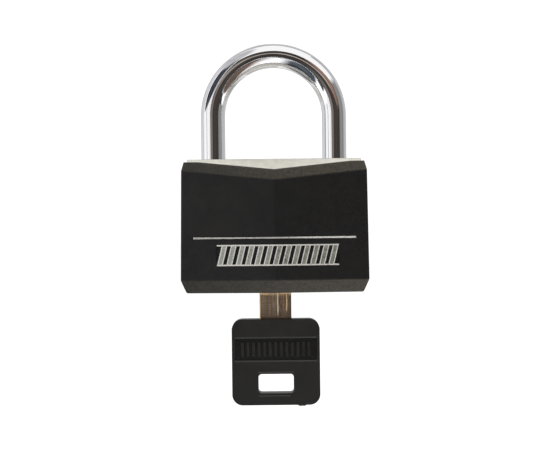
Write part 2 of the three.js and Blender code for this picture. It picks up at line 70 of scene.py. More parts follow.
BLOCK_LOW, BLOCK_HIGH = span("body_block")
COVER_LOW, COVER_HIGH = span("body_cover")
SHACKLE_LOW, SHACKLE_HIGH = span("shackle")
HEAD_LOW, HEAD_HIGH = span("key_head")
BLADE_LOW, BLADE_HIGH = span("key_blade")
STRIP_LOW, STRIP_HIGH = span("accent_strip")
BADGE_LOW, BADGE_HIGH = span("badge")
HOUSING_LOW, HOUSING_HIGH = span("cylinder_housing")
PLUG_LOW, PLUG_HIGH = span("plug")

FACET_SLOPE = 0.097         # how much a facet falls back for each millimetre away from the centre ridge
GAP = 0.3                   # room between the body and its cover, and round the key's tang

BLOCK_RIDGE = BLOCK_HIGH.y
BLOCK_HALF = BLOCK_HIGH.x
BLOCK_TOP_HALF_DEPTH = 5.43     # the flat top, between the front and back bevels
HEEL_BORE, TOE_BORE = 27.7, 9.6     # how deep the shackle's two bores go
CHANNEL_HALF, CHANNEL_LOW, CHANNEL_HIGH = 3.4, -5.2, -2.3     # where the dogs slide
POCKET_RADIUS = 7.3         # for the lock cylinder
RIB_POCKET = (15.1, 2.9)    # for the cylinder's rib: its reach and half its depth
CYLINDER_PIN = ((-7.2, -27.5), 0.9)     # each cross pin's place (X, Z) and its hole's radius
SHACKLE_PIN = ((-11.7, -9.9), 0.75)

COVER_RIDGE = COVER_HIGH.y
COVER_BASE_HALF = COVER_HIGH.x
COVER_SHOULDER_HALF = COVER_BASE_HALF - 0.32
COVER_BOTTOM = COVER_LOW.z
BASE_BAND = 3.0             # the height of the slanted band round the base
BASE_INSET = 1.02           # how far that band leans in
FOOT_BAND = 0.6             # the short steeper band below it
FOOT_INSET = 1.3
LIP_RIDGE = BLOCK_RIDGE + GAP + 0.3
LIP_HALF = 20.83
LIP_DEPTH = 2.87            # the lip and the shoulder, below the body's top, at the centre ridge
SHOULDER_DEPTH = 5.05
V_SLOPE = 0.105             # how much both rise for each millimetre away from the ridge
COVER_FLOOR = 1.2
TRIM_ROOM = 0.08            # round the silver trim in its recess

BADGE_RAIL, BADGE_BAR, BADGE_SLANT, BADGE_BARS = 0.32, 1.3, 1.2, 13
BADGE_PITCH = (BADGE_HIGH.x - BADGE_LOW.x - BADGE_BAR - BADGE_SLANT) / (BADGE_BARS - 1)

WIRE = (SHACKLE_HIGH.y - SHACKLE_LOW.y) / 2     # the bar's radius
LEG_X = SHACKLE_HIGH.x - WIRE
BOW_Z = SHACKLE_HIGH.z - WIRE - LEG_X
HEEL_Z = SHACKLE_LOW.z
TOE_Z = -9.2
TOE_ROUND = 0.8
LEG_BORE = 3.05
NECK = {"radius": 1.8, "top": -8.9, "bottom": -20.7}
NOTCH = {"top": -2.45, "bottom": -5.05, "ramp_end": -8.34, "depth": 1.15}

PLUG_RADIUS = PLUG_HIGH.x
PLUG_BORE = 6.0
PLUG_BACK = -14.0           # where the plug's full width ends
BORE_BACK = -13.7           # where the housing's bore for it ends
HOUSING_RADIUS = -HOUSING_LOW.x
RIB_HALF, RIB_LOW = 2.6, -28.3     # the housing's rib, which holds the pin chambers
CHAMBER_SEAT = 13.2         # where the strip that closes the chambers lies
CHAMBER_RADIUS = 1.35
FACE_Z = PLUG_LOW.z
KEYWAY_BACK = -14.7

KEY_WIDTH = 3.75            # half the blade's width
KEY_THICK = BLADE_HIGH.y    # half the blade's thickness
GROOVE_LEFT, GROOVE_RIGHT = 0.65, 2.85
GROOVE_DEPTH = 0.35
LEFT_END, RIGHT_END = 5.6, 4.6     # how far below the cylinder's face the groove's two sides end
WARD_X, WARD_HALF = 1.75, 0.8
CUT_DEPTHS = [25.8, 22.6, 19.4, 16.2]
CUT_EDGES = [3.2, 2.6, 2.0, 1.4]

HEAD_CORNER = 2.5
GATE_MARK = 0.4             # how far the moulding's gate mark stands proud of the head
HEAD_RIB = 0.07             # how far the thin ribs stand proud of the head
PANEL_HALF, PANEL_TOP, PANEL_BOTTOM, PANEL_SINK = 9.6, 4.5, 9.6, 0.26
GRIP_RIBS, GRIP_HALF = 13, 7.8
HOLE_WIDTH, HOLE_HEIGHT, HOLE_TOP, HOLE_CORNER = 8.3, 4.5, 12.85, 0.8

CYLINDER_SIDES, BORE_SIDES, CHAMBER_SIDES, PIN_SIDES = 72, 64, 32, 24

# ---------- mesh tools ----------


def as_object(name, bm):
    """A new object that holds the mesh being built."""
    mesh = bpy.data.meshes.new(name)
    bm.normal_update()
    bm.to_mesh(mesh)
    bm.free()
    obj = bpy.data.objects.new(name, mesh)
    bpy.context.scene.collection.objects.link(obj)
    return obj


def settle(obj):
    """Applies the object's modifiers."""
    bpy.context.view_layer.update()
    graph = bpy.context.evaluated_depsgraph_get()
    mesh = bpy.data.meshes.new_from_object(obj.evaluated_get(graph))
    obj.modifiers.clear()
    obj.data = mesh
    return obj


def combine(obj, others, operation):
    """Joins or cuts an object with others, which are used up."""
    for other in others:
        step = obj.modifiers.new("combine", "BOOLEAN")
        step.operation = operation
        step.object = other
        step.solver = "EXACT"
    settle(obj)
    for other in others:
        bpy.data.objects.remove(other)
    return obj


def cut(obj, *others):
    return combine(obj, others, "DIFFERENCE")


def join(obj, *others):
    return combine(obj, others, "UNION")


def soften(obj, width, segments=3, angle=35):
    """Rounds every edge that is sharper than the angle."""
    step = obj.modifiers.new("soften", "BEVEL")
    step.width = width
    step.segments = segments
    step.limit_method = "ANGLE"
    step.angle_limit = math.radians(angle)
    step.miter_outer = "MITER_ARC"
    return settle(obj)


def hull(name, points, rounding, segments=3, share=None):
    """A convex solid round the points. Each edge is rounded by `rounding` times share(edge), or in full."""
    bm = bmesh.new()
    for point in points:
        bm.verts.new(point)
    found = bmesh.ops.convex_hull(bm, input=bm.verts)
    spare = set(found["geom_interior"]) | set(found["geom_unused"])
    bmesh.ops.delete(bm, geom=[v for v in spare if isinstance(v, bmesh.types.BMVert)], context="VERTS")
    bmesh.ops.dissolve_limit(bm, angle_limit=math.radians(0.4), verts=bm.verts, edges=bm.edges)
    weights = bm.edges.layers.float.new("bevel_weight_edge")
    for edge in bm.edges:
        edge[weights] = share(edge) if share else 1.0
    solid = as_object(name, bm)
    step = solid.modifiers.new("rounding", "BEVEL")
    step.width = rounding
    step.segments = segments
    step.limit_method = "WEIGHT"
    step.miter_outer = "MITER_ARC"
    return settle(solid)


def prism(points, axis, low, high, name="cutter"):
    """An outline pushed along an axis. Its points are the other two coordinates, in X, Y, Z order."""
    bm = bmesh.new()

    def place(a, b, c):
        return {"x": (c, a, b), "y": (a, c, b), "z": (a, b, c)}[axis]

    near = [bm.verts.new(place(a, b, low)) for a, b in points]
    far = [bm.verts.new(place(a, b, high)) for a, b in points]
    bm.faces.new(near)
    bm.faces.new(far)
    for i in range(len(points)):
        j = (i + 1) % len(points)
        bm.faces.new((near[i], near[j], far[j], far[i]))
    bmesh.ops.recalc_face_normals(bm, faces=bm.faces)
    return as_object(name, bm)


def box(x0, x1, y0, y1, z0, z1):
    return prism([(x0, y0), (x1, y0), (x1, y1), (x0, y1)], "z", z0, z1)


def circle(radius, sides, centre=(0, 0)):
    turn = math.tau / sides
    return [
        (centre[0] + radius * math.cos(turn * i), centre[1] + radius * math.sin(turn * i))
        for i in range(sides)
    ]


def turned(profile, sides, centre=(0, 0), name="cutter"):
    """A solid of revolution about an upright axis, from (radius, z) places, bottom to top."""
    bm = bmesh.new()
    rings = [[bm.verts.new((x, y, z)) for x, y in circle(radius, sides, centre)] for radius, z in profile]
    for lower, upper in zip(rings, rings[1:]):
        for i in range(sides):
            j = (i + 1) % sides
            bm.faces.new((lower[i], lower[j], upper[j], upper[i]))
    bm.faces.new(rings[0][::-1])
    bm.faces.new(rings[-1])
    bmesh.ops.recalc_face_normals(bm, faces=bm.faces)
    return as_object(name, bm)


def rounded_rectangle(width, height, radius, centre, steps=10):
    """The outline of a rectangle with round corners."""
    points = []
    for corner, (sx, sz) in enumerate([(1, 1), (-1, 1), (-1, -1), (1, -1)]):
        middle = (centre[0] + sx * (width / 2 - radius), centre[1] + sz * (height / 2 - radius))
        for i in range(steps + 1):
            angle = math.pi / 2 * (corner + i / steps)
            points.append((middle[0] + radius * math.cos(angle), middle[1] + radius * math.sin(angle)))
    return points


def shade(obj, angle=32):
    """Smooth shading that keeps flat faces flat and edges sharper than the angle crisp."""
    bm = bmesh.new()
    bm.from_mesh(obj.data)
    for face in bm.faces:
        face.smooth = True
    for edge in bm.edges:
        edge.smooth = len(edge.link_faces) == 2 and edge.calc_face_angle(0) < math.radians(angle)
    bm.to_mesh(obj.data)
    bm.free()
    step = obj.modifiers.new("normals", "WEIGHTED_NORMAL")
    step.keep_sharp = True
    step.weight = 90
    return settle(obj)


def finish_piece(obj, body, slot, material, *nodes, angle=32):
    """Puts a piece into the shared frame, gives it its material, hides the CAD nodes that it replaces and
    attaches it to its body.
    """
    mesh = obj.data
    bm = bmesh.new()
    bm.from_mesh(mesh)
    bmesh.ops.remove_doubles(bm, verts=bm.verts, dist=WELD)
    bmesh.ops.dissolve_degenerate(bm, dist=SLIVER, edges=bm.edges)
    for vert in bm.verts:
        vert.co = vert.co * MM + Vector((0, 0, TOP))
    bm.to_mesh(mesh)
    bm.free()
    shade(obj, angle)
    obj.data.materials.clear()
    obj.data.materials.append(material)
    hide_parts(*nodes)
    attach(obj, body)
    return obj


def facet(ridge, x):
    """The distance from the middle plane to a facet whose ridge stands at `ridge`."""
    return ridge - FACET_SLOPE * abs(x)


def facet_ring(half_width, ridge, ridge_z, side_z):
    side = facet(ridge, half_width)
    ring = []
    for face in (-1, 1):
        ring.append((0, face * ridge, ridge_z))
        ring += [(half_width, face * side, side_z), (-half_width, face * side, side_z)]
    return ring


def facet_outline(half_width, ridge):
    side = facet(ridge, half_width)
    return [
        (-half_width, -side), (0, -ridge), (half_width, -side),
        (half_width, side), (0, ridge), (-half_width, side),
    ]


# ---------- materials ----------


MIX_SOCKETS = {"RGBA": (6, 7, 2), "FLOAT": (2, 3, 0)}    # a mix node's two inputs and its output


class Nodes:
    """A material's node tree, with noise and masks in millimetres."""

    def __init__(self, name):
        self.material = bpy.data.materials.new(name)
        self.material.use_nodes = True
        self.tree = self.material.node_tree
        self.place = self.tree.nodes.new("ShaderNodeTexCoord")
        self.coordinates = self.place.outputs["Object"]

    def link(self, source, target):
        self.tree.links.new(source, target)

    def noise(self, size_mm, stretch=(1, 1, 1), detail=3.0, roughness=0.55, distortion=0.0):
        """Noise whose features are about size_mm across, drawn out along an axis by stretch."""
        mapping = self.tree.nodes.new("ShaderNodeMapping")
        mapping.inputs["Scale"].default_value = tuple(1 / (size_mm * MM * s) for s in stretch)
        self.link(self.coordinates, mapping.inputs["Vector"])
        texture = self.tree.nodes.new("ShaderNodeTexNoise")
        texture.inputs["Scale"].default_value = 1.0
        texture.inputs["Detail"].default_value = detail
        texture.inputs["Roughness"].default_value = roughness
        texture.inputs["Distortion"].default_value = distortion
        self.link(mapping.outputs["Vector"], texture.inputs["Vector"])
        return texture.outputs["Fac"]

    def ranged(self, source, low, high, start=0.3, end=0.7):
        """The source's values from start to end, spread over low to high."""
        node = self.tree.nodes.new("ShaderNodeMapRange")
        node.inputs["From Min"].default_value = start
        node.inputs["From Max"].default_value = end
        node.inputs["To Min"].default_value = low
        node.inputs["To Max"].default_value = high
        self.link(source, node.inputs["Value"])
        return node.outputs["Result"]

    def calculate(self, operation, *sources):
        node = self.tree.nodes.new("ShaderNodeMath")
        node.operation = operation
        for source, socket in zip(sources, node.inputs):
            if isinstance(source, (int, float)):
                socket.default_value = source
            else:
                self.link(source, socket)
        return node.outputs["Value"]

    def split(self, vector, axis):
        node = self.tree.nodes.new("ShaderNodeSeparateXYZ")
        self.link(vector, node.inputs["Vector"])
        return node.outputs[axis]

    def measure(self, vector):
        """How far along a vector from the object's centre, where 1 is the vector's end."""
        node = self.tree.nodes.new("ShaderNodeVectorMath")
        node.operation = "DOT_PRODUCT"
        node.inputs[1].default_value = vector / vector.length_squared
        self.link(self.coordinates, node.inputs[0])
        return node.outputs["Value"]

    def band(self, axis, low_mm, high_mm, soft_mm=0.05):
        """A mask that is 1 between two places on an axis of the lock's frame."""
        shift = TOP if axis == "Z" else 0
        soft = soft_mm * MM / 2
        low, high = low_mm * MM + shift, high_mm * MM + shift
        position = self.split(self.coordinates, axis)
        rise = self.ranged(position, 0, 1, low - soft, low + soft)
        fall = self.ranged(position, 1, 0, high - soft, high + soft)
        return self.calculate("MULTIPLY", rise, fall)

    def ramp(self, source, stops):
        """Colour from a ramp of (place, colour) stops."""
        node = self.tree.nodes.new("ShaderNodeValToRGB")
        elements = node.color_ramp.elements
        while len(elements) < len(stops):
            elements.new(0.5)
        for element, (place, color) in zip(elements, stops):
            element.position = place
            element.color = (*color, 1)
        self.link(source, node.inputs["Fac"])
        return node.outputs["Color"]


class Finish(Nodes):
    """A material that starts as one shader, to which grain, wear, colour variation and painted light and
    shade are added.
    """

    def __init__(self, name, color, metallic, roughness, **settings):
        super().__init__(name)
        self.shader = self.tree.nodes["Principled BSDF"]
        self.shader.inputs["Base Color"].default_value = (*color, 1)
        self.shader.inputs["Metallic"].default_value = metallic
        self.shader.inputs["Roughness"].default_value = roughness
        for socket, value in settings.items():
            self.shader.inputs[socket.replace("_", " ")].default_value = value

    def chamfers(self):
        """A mask of the faces that lean up or down."""
        lean = self.calculate("ABSOLUTE", self.split(self.place.outputs["Normal"], "Z"))
        return self.ranged(lean, 0, 1, 0.1, 0.3)

    def overlay(self, socket, mask, value):
        """Blends one of the shader's inputs towards a value where the mask is 1."""
        target = self.shader.inputs[socket]
        mix = self.tree.nodes.new("ShaderNodeMix")
        mix.data_type = "RGBA" if socket == "Base Color" else "FLOAT"
        first, second, result = MIX_SOCKETS[mix.data_type]
        if target.links:
            self.link(target.links[0].from_socket, mix.inputs[first])
        else:
            mix.inputs[first].default_value = target.default_value
        mix.inputs[second].default_value = (*value, 1) if socket == "Base Color" else value
        self.link(mask, mix.inputs["Factor"])
        self.link(mix.outputs[result], target)

    def vary_roughness(self, source, low, high, start=0.3, end=0.7):
        self.link(self.ranged(source, low, high, start, end), self.shader.inputs["Roughness"])

    def vary_color(self, source, stops):
        self.link(self.ramp(source, stops), self.shader.inputs["Base Color"])

    def bump(self, source, height_mm, strength=1.0):
        """Relief of about height_mm. A second call lies on top of the first."""
        node = self.tree.nodes.new("ShaderNodeBump")
        node.inputs["Strength"].default_value = strength
        node.inputs["Distance"].default_value = height_mm * MM
        self.link(source, node.inputs["Height"])
        before = self.shader.inputs["Normal"].links
        if before:
            self.link(before[0].from_socket, node.inputs["Normal"])
        self.link(node.outputs["Normal"], self.shader.inputs["Normal"])


def cover_plastic():
    look = Finish("cover_plastic", (0.008, 0.008, 0.008), 0, 0.38, IOR=1.46)
    smudge = look.noise(6.0, detail=5, distortion=0.6)
    look.vary_color(smudge, [(0.3, (0.005, 0.005, 0.0055)), (0.7, (0.009, 0.0085, 0.008))])
    look.vary_roughness(look.noise(1.1, detail=6), 0.33, 0.45)
    side = look.split(look.coordinates, "X")
    # painted shade: the right-hand facet of the front is darkened a little
    look.overlay("Base Color", look.ranged(side, 0, 0.65, -MM, 2 * MM), (0.006, 0.006, 0.006))
    chamfers = look.chamfers()
    # painted highlight: the chamfers that lean up or down are lightened and warmed in grainy patches, more
    # towards the right, for the light that they catch
    rubbing_and_sheen = look.ranged(look.noise(0.6, detail=6), 0.35, 0.85, 0.35, 0.65)
    right_side_light = look.ranged(side, 0.78, 1.55, -18 * MM, 18 * MM)
    chamfer_sheen = look.calculate("MULTIPLY", look.calculate("MULTIPLY", chamfers, rubbing_and_sheen), right_side_light)
    look.overlay("Base Color", chamfer_sheen, (0.036, 0.03, 0.0195))
    look.overlay("Roughness", chamfers, 0.5)
    look.bump(look.noise(0.5, detail=4), 0.06, 0.6)
    look.bump(look.calculate("MULTIPLY", chamfers, look.noise(0.45, detail=5)), 0.14, 0.8)
    look.bump(look.noise(9.0, detail=1), 0.05, 0.35)
    return look.material


def key_plastic():
    look = Finish("key_plastic", (0.008, 0.008, 0.007), 0, 0.4, IOR=1.46)
    smudge = look.noise(4.0, detail=5, distortion=0.4)
    look.vary_color(smudge, [(0.3, (0.0075, 0.0068, 0.0058)), (0.7, (0.013, 0.012, 0.0102))])
    look.vary_roughness(look.noise(0.9, detail=6), 0.34, 0.46)
    front = HEAD_HIGH.y - HEAD_RIB
    panel = look.calculate(
        "MULTIPLY",
        look.band("Z", HEAD_HIGH.z - PANEL_BOTTOM, HEAD_HIGH.z - PANEL_TOP),
        look.band("Y", -front + 0.14, front - 0.14),
    )
    # painted shade: the sunk panel's colour is darkened, besides being made glossier
    look.overlay("Base Color", panel, (0.002, 0.002, 0.002))
    look.overlay("Roughness", panel, 0.24)
    height = look.split(look.coordinates, "Z")
    lower = look.ranged(height, 0.85, 0, HEAD_LOW.z * MM + TOP, HEAD_HIGH.z * MM + TOP)
    look.overlay("Base Color", lower, (0.0025, 0.0024, 0.0021))
    # painted highlight: the crests of the thin ribs are lightened
    crest = look.calculate("ABSOLUTE", look.split(look.coordinates, "Y"))
    crest = look.ranged(crest, 0, 1, (front + 0.3 * HEAD_RIB) * MM, (front + 0.8 * HEAD_RIB) * MM)
    look.overlay("Base Color", crest, (0.035, 0.035, 0.033))
    look.bump(look.noise(0.25, detail=3), 0.016, 0.6)
    look.bump(look.noise(5.0, detail=1), 0.04, 0.4)
    return look.material


def shackle_chrome():
    look = Finish("shackle_chrome", (0.83, 0.83, 0.84), 1, 0.05)
    look.vary_roughness(look.noise(2.5, detail=7), 0.035, 0.1)
    look.bump(look.noise(0.25, stretch=(1, 1, 14), detail=2), 0.0015, 0.5)
    look.bump(look.noise(7.0, detail=1), 0.02, 0.35)
    return look.material


def body_metal():
    look = Finish("body_metal", (0.73, 0.71, 0.64), 1, 0.34)
    mottle = look.noise(1.6, detail=6)
    look.vary_color(mottle, [(0.3, (0.67, 0.65, 0.575)), (0.7, (0.79, 0.77, 0.7))])
    look.vary_roughness(look.noise(0.12, stretch=(22, 1, 1), detail=3), 0.26, 0.46)
    look.bump(look.noise(0.1, stretch=(30, 1, 1), detail=3), 0.006, 0.7)
    return look.material


def silver_trim():
    look = Finish("silver_trim", (0.74, 0.73, 0.7), 0.7, 0.3)
    mottle = look.noise(1.4, detail=5, distortion=0.8)
    look.vary_color(mottle, [(0.25, (0.5, 0.485, 0.45)), (0.75, (0.9, 0.89, 0.84))])
    # painted highlight: the strip is lightened on its right half
    side_highlight = look.ranged(look.split(look.coordinates, "X"), 0, 0.8, 0, 8 * MM)
    look.overlay("Base Color", side_highlight, (1.0, 0.99, 0.95))
    look.vary_roughness(look.noise(0.3, detail=4), 0.22, 0.45)
    look.bump(look.noise(0.15, detail=3), 0.01, 0.6)
    return look.material


def badge_silver():
    """Silver, darker in the middle of each slanted bar, with painted highlights along each bar's outline and
    on the rails.
    """
    look = Finish("badge_silver", (0.7, 0.68, 0.62), 0.7, 0.32)
    mottle = look.noise(0.9, detail=5, distortion=0.8)
    look.vary_color(mottle, [(0.3, (0.2, 0.19, 0.16)), (0.7, (0.48, 0.47, 0.41))])
    look.vary_roughness(look.noise(0.3, detail=4), 0.22, 0.5)
    # painted highlight: the badge is lightened towards its left
    side_highlight = look.ranged(look.split(look.coordinates, "X"), 0.6, 0, -10 * MM, 2 * MM)
    look.overlay("Base Color", side_highlight, (0.52, 0.55, 0.51))
    across, up = look.split(look.coordinates, "X"), look.split(look.coordinates, "Z")
    low = BADGE_LOW.z * MM + TOP
    lean = BADGE_SLANT / (BADGE_HIGH.z - BADGE_LOW.z)
    straight = look.calculate("MULTIPLY_ADD", look.calculate("SUBTRACT", up, low), -lean, across)
    straight = look.calculate("SUBTRACT", straight, BADGE_LOW.x * MM)
    along = look.calculate("FLOORED_MODULO", straight, BADGE_PITCH * MM)
    middle = look.calculate("ABSOLUTE", look.calculate("SUBTRACT", along, BADGE_BAR / 2 * MM))
    # painted highlight: a bright band along the edges of each bar
    outline = look.ranged(middle, 0, 1, (BADGE_BAR / 2 - 0.28) * MM, (BADGE_BAR / 2 - 0.2) * MM)
    look.overlay("Base Color", outline, (0.93, 0.92, 0.87))
    # painted highlight: the rails are brightened
    rails = look.band("Z", BADGE_LOW.z + BADGE_RAIL, BADGE_HIGH.z - BADGE_RAIL)
    look.overlay("Base Color", look.calculate("SUBTRACT", 1, rails), (0.9, 0.89, 0.84))
    look.bump(look.noise(0.15, detail=3), 0.012, 0.6)
    return look.material


def plated_brass():
    look = Finish("nickel_brass", (0.5, 0.4, 0.3), 1, 0.3)
    streaks = look.noise(0.13, stretch=(1, 1, 80), detail=5)
    look.vary_color(streaks, [
        (0.32, (0.34, 0.25, 0.18)), (0.5, (0.54, 0.43, 0.33)), (0.7, (0.85, 0.72, 0.56)),
    ])
    look.vary_roughness(look.noise(0.3, stretch=(1, 1, 8), detail=4), 0.24, 0.42)
    look.bump(look.noise(0.1, stretch=(1, 1, 50), detail=3), 0.006, 0.7)
    return look.material


def line_mask(look, place, width, end, top=0):
    """A painted highlight line at a place on the X axis, from `top` down to `end` below the cylinder's face.

    A top of 0 lies inside the body, so such a line has no upper end on the blade that shows.
    """
    return look.calculate(
        "MULTIPLY", look.band("X", place - width, place + width), look.band("Z", FACE_Z - end, top, 0.8)
    )


def key_blade_metal():
    """The key's plating, with painted glints of bright brass along the edges of its groove and its back, and
    bare brass where it wears at and inside the cylinder's face.
    """
    look = Finish("key_blade_plating", (0.5, 0.4, 0.3), 1, 0.3)
    streaks = look.noise(0.13, stretch=(1, 1, 80), detail=5)
    look.vary_color(streaks, [
        (0.35, (0.26, 0.18, 0.12)), (0.5, (0.5, 0.38, 0.27)), (0.65, (0.9, 0.74, 0.56)),
    ])
    look.vary_roughness(look.noise(0.3, stretch=(1, 1, 8), detail=4), 0.26, 0.44)
    look.overlay("Base Color", look.band("X", GROOVE_RIGHT, KEY_WIDTH + 1, 0.3), (0.33, 0.27, 0.21))
    rubbing_and_sheen = look.ranged(look.noise(0.14, stretch=(12, 1, 1), detail=4), 0, 0.7, 0.5, 0.66)
    look.overlay("Base Color", rubbing_and_sheen, (0.3, 0.2, 0.14))
    patches = look.ranged(look.noise(0.5, detail=4), 0, 0.9, 0.35, 0.55)
    polished = look.calculate("MULTIPLY", look.band("Z", FACE_Z - 0.9, FACE_Z + 0.6, 0.7), patches)
    strokes = look.ranged(look.noise(0.2, stretch=(1, 1, 40), detail=4), 0.1, 0.85, 0.42, 0.6)
    entered = look.calculate("MULTIPLY", look.band("Z", FACE_Z + 0.3, 0, 1.4), strokes)
    look.overlay("Base Color", entered, (0.85, 0.62, 0.32))
    # painted shade: the blade is darkened towards the head
    shade_near_head = look.band("Z", HEAD_HIGH.z - 2, HEAD_HIGH.z + 1.7, 3.4)
    look.overlay("Base Color", shade_near_head, (0.26, 0.19, 0.14))
    bright, golden = (1.0, 0.88, 0.66), (0.85, 0.62, 0.36)
    # painted highlights: the three lines are glints along the groove's edges and the blade's back; the
    # polished patches are wear
    glints_and_wear = [
        (line_mask(look, GROOVE_LEFT - 0.06, 0.065, LEFT_END), bright),
        (line_mask(look, GROOVE_RIGHT - 0.22, 0.075, RIGHT_END, FACE_Z + 1), golden),
        (line_mask(look, -KEY_WIDTH, 0.2, 9.0), golden),
        (polished, golden),
    ]
    for mask, color in glints_and_wear:
        look.overlay("Base Color", mask, color)
        look.overlay("Metallic", mask, 0.1)
        look.overlay("Roughness", mask, 0.6)
    look.bump(look.noise(0.1, stretch=(1, 1, 50), detail=3), 0.006, 0.7)
    return look.material


def machined_brass():
    look = Finish("brass", (0.62, 0.46, 0.22), 1, 0.3)
    tarnish = look.noise(1.8, detail=6)
    look.vary_color(tarnish, [(0.3, (0.5, 0.34, 0.14)), (0.7, (0.72, 0.55, 0.28))])
    look.vary_roughness(look.noise(0.5, detail=5), 0.22, 0.42)
    look.bump(look.noise(0.08, stretch=(1, 1, 18), detail=3), 0.005, 0.7)
    return look.material


def zinc_steel():
    look = Finish("steel", (0.5, 0.5, 0.5), 1, 0.34)
    mottle = look.noise(0.9, detail=6)
    look.vary_color(mottle, [(0.3, (0.4, 0.4, 0.41)), (0.7, (0.62, 0.61, 0.6))])
    look.vary_roughness(look.noise(0.25, stretch=(12, 1, 1), detail=4), 0.26, 0.46)
    look.bump(look.noise(0.12, stretch=(16, 1, 1), detail=2), 0.004, 0.7)
    return look.material


def spring_steel():
    look = Finish("spring_steel", (0.36, 0.36, 0.37), 1, 0.28)
    mottle = look.noise(0.6, detail=5)
    look.vary_color(mottle, [(0.3, (0.26, 0.26, 0.27)), (0.7, (0.5, 0.5, 0.51))])
    look.vary_roughness(look.noise(0.2, detail=4), 0.2, 0.4)
    look.bump(look.noise(0.1, detail=2), 0.003, 0.6)
    return look.material


def floor_paint():
    look = Finish("floor_paint", (0.95, 0.95, 0.95), 0, 0.9, Specular_IOR_Level=0)
    look.bump(look.noise(3.0, detail=3), 0.05, 0.2)
    return look.material


KEY_BLADE_LOOK = key_blade_metal()
BADGE_LOOK = badge_silver()
LOOKS = {
    "cover_plastic": cover_plastic(),
    "key_plastic": key_plastic(),
    "shackle_chrome": shackle_chrome(),
    "body_metal": body_metal(),
    "silver_trim": silver_trim(),
    "nickel_brass": plated_brass(),
    "brass": machined_brass(),
    "steel": zinc_steel(),
    "spring_steel": spring_steel(),
}

# ---------- body ----------


def make_block():
    side = facet(BLOCK_RIDGE, BLOCK_HALF)
    top_half = BLOCK_TOP_HALF_DEPTH
    points = facet_ring(BLOCK_HALF, BLOCK_RIDGE, BLOCK_LOW.z, BLOCK_LOW.z)
    points += facet_ring(BLOCK_HALF, BLOCK_RIDGE, top_half - BLOCK_RIDGE, top_half - side)
    points += [(x, y, 0) for x in (-BLOCK_HALF, BLOCK_HALF) for y in (-top_half, top_half)]
    block = hull("body_metal_block", points, 0.16)
    bores = []
    chamfer = 0.25
    for x, depth in ((-LEG_X, HEEL_BORE), (LEG_X, TOE_BORE)):
        profile = [(LEG_BORE, -depth), (LEG_BORE, -chamfer), (LEG_BORE + chamfer + BEYOND, BEYOND)]
        bores.append(turned(profile, BORE_SIDES, (x, 0)))
    channel = box(-LEG_X, LEG_X, -CHANNEL_HALF, CHANNEL_HALF, CHANNEL_LOW, CHANNEL_HIGH)
    below = BLOCK_LOW.z - BEYOND
    pocket = turned([(POCKET_RADIUS, below), (POCKET_RADIUS, CHANNEL_LOW + 0.001)], BORE_SIDES)
    reach, half = RIB_POCKET
    rib_pocket = box(0, reach, -half, half, below, BORE_BACK)
    cut(block, *bores, channel, pocket, rib_pocket, pin_hole(*CYLINDER_PIN), pin_hole(*SHACKLE_PIN))
    return finish_piece(block, "case", "body_metal", LOOKS["body_metal"], "body_block")


def pin_hole(centre, radius):
    """The cutter for a cross pin's hole, which runs from front to back."""
    reach = 12
    return prism(circle(radius, PIN_SIDES, centre), "y", -reach, reach)


def make_cover():
    lip_side = LIP_DEPTH - V_SLOPE * LIP_HALF
    shoulder_side = SHOULDER_DEPTH - V_SLOPE * COVER_SHOULDER_HALF
    points = facet_ring(LIP_HALF, LIP_RIDGE, -LIP_DEPTH, -lip_side)
    points += facet_ring(COVER_SHOULDER_HALF, COVER_RIDGE, -SHOULDER_DEPTH, -shoulder_side)
    points += facet_ring(COVER_BASE_HALF, COVER_RIDGE, COVER_BOTTOM + BASE_BAND, COVER_BOTTOM + BASE_BAND)
    foot = COVER_BOTTOM + FOOT_BAND
    points += facet_ring(COVER_BASE_HALF - BASE_INSET, COVER_RIDGE - BASE_INSET, foot, foot)
    points += facet_ring(COVER_BASE_HALF - FOOT_INSET, COVER_RIDGE - FOOT_INSET, COVER_BOTTOM, COVER_BOTTOM)

    def share(edge):
        if all(vert.co.z > -LIP_DEPTH - 0.01 for vert in edge.verts):
            return 0.2
        if all(vert.co.z < foot + 0.01 for vert in edge.verts):
            return 1.0
        return 0.8

    cover = hull("moulded_cover", points, 0.42, segments=4, share=share)
    cavity = prism(
        facet_outline(BLOCK_HALF + GAP, BLOCK_RIDGE + GAP), "z", COVER_BOTTOM + COVER_FLOOR, 5, name="cavity"
    )
    opening = HOUSING_RADIUS + GAP
    mouth = turned([
        (opening + 1.3, COVER_BOTTOM - BEYOND), (opening, COVER_BOTTOM + 0.3), (opening, COVER_BOTTOM + 3),
    ], CYLINDER_SIDES)
    cut(cover, cavity, mouth, *trim_recesses())
    return finish_piece(cover, "case", "cover_plastic", LOOKS["cover_plastic"], "body_cover")


def front_layer(proud, deep, low_z, high_z, left, right):
    """The layer of the cover's front between its surface and `deep` below it."""
    outer, inner = COVER_RIDGE + proud, COVER_RIDGE - deep
    outline = [
        (left, -facet(outer, left)), (0, -outer), (right, -facet(outer, right)),
        (right, -facet(inner, right)), (0, -inner), (left, -facet(inner, left)),
    ]
    return prism(outline, "z", low_z, high_z)


def trim_recesses():
    room = TRIM_ROOM
    return [
        front_layer(1, 0.4, low.z - room, high.z + room, low.x - room, high.x + room)
        for low, high in ((STRIP_LOW, STRIP_HIGH), (BADGE_LOW, BADGE_HIGH))
    ]


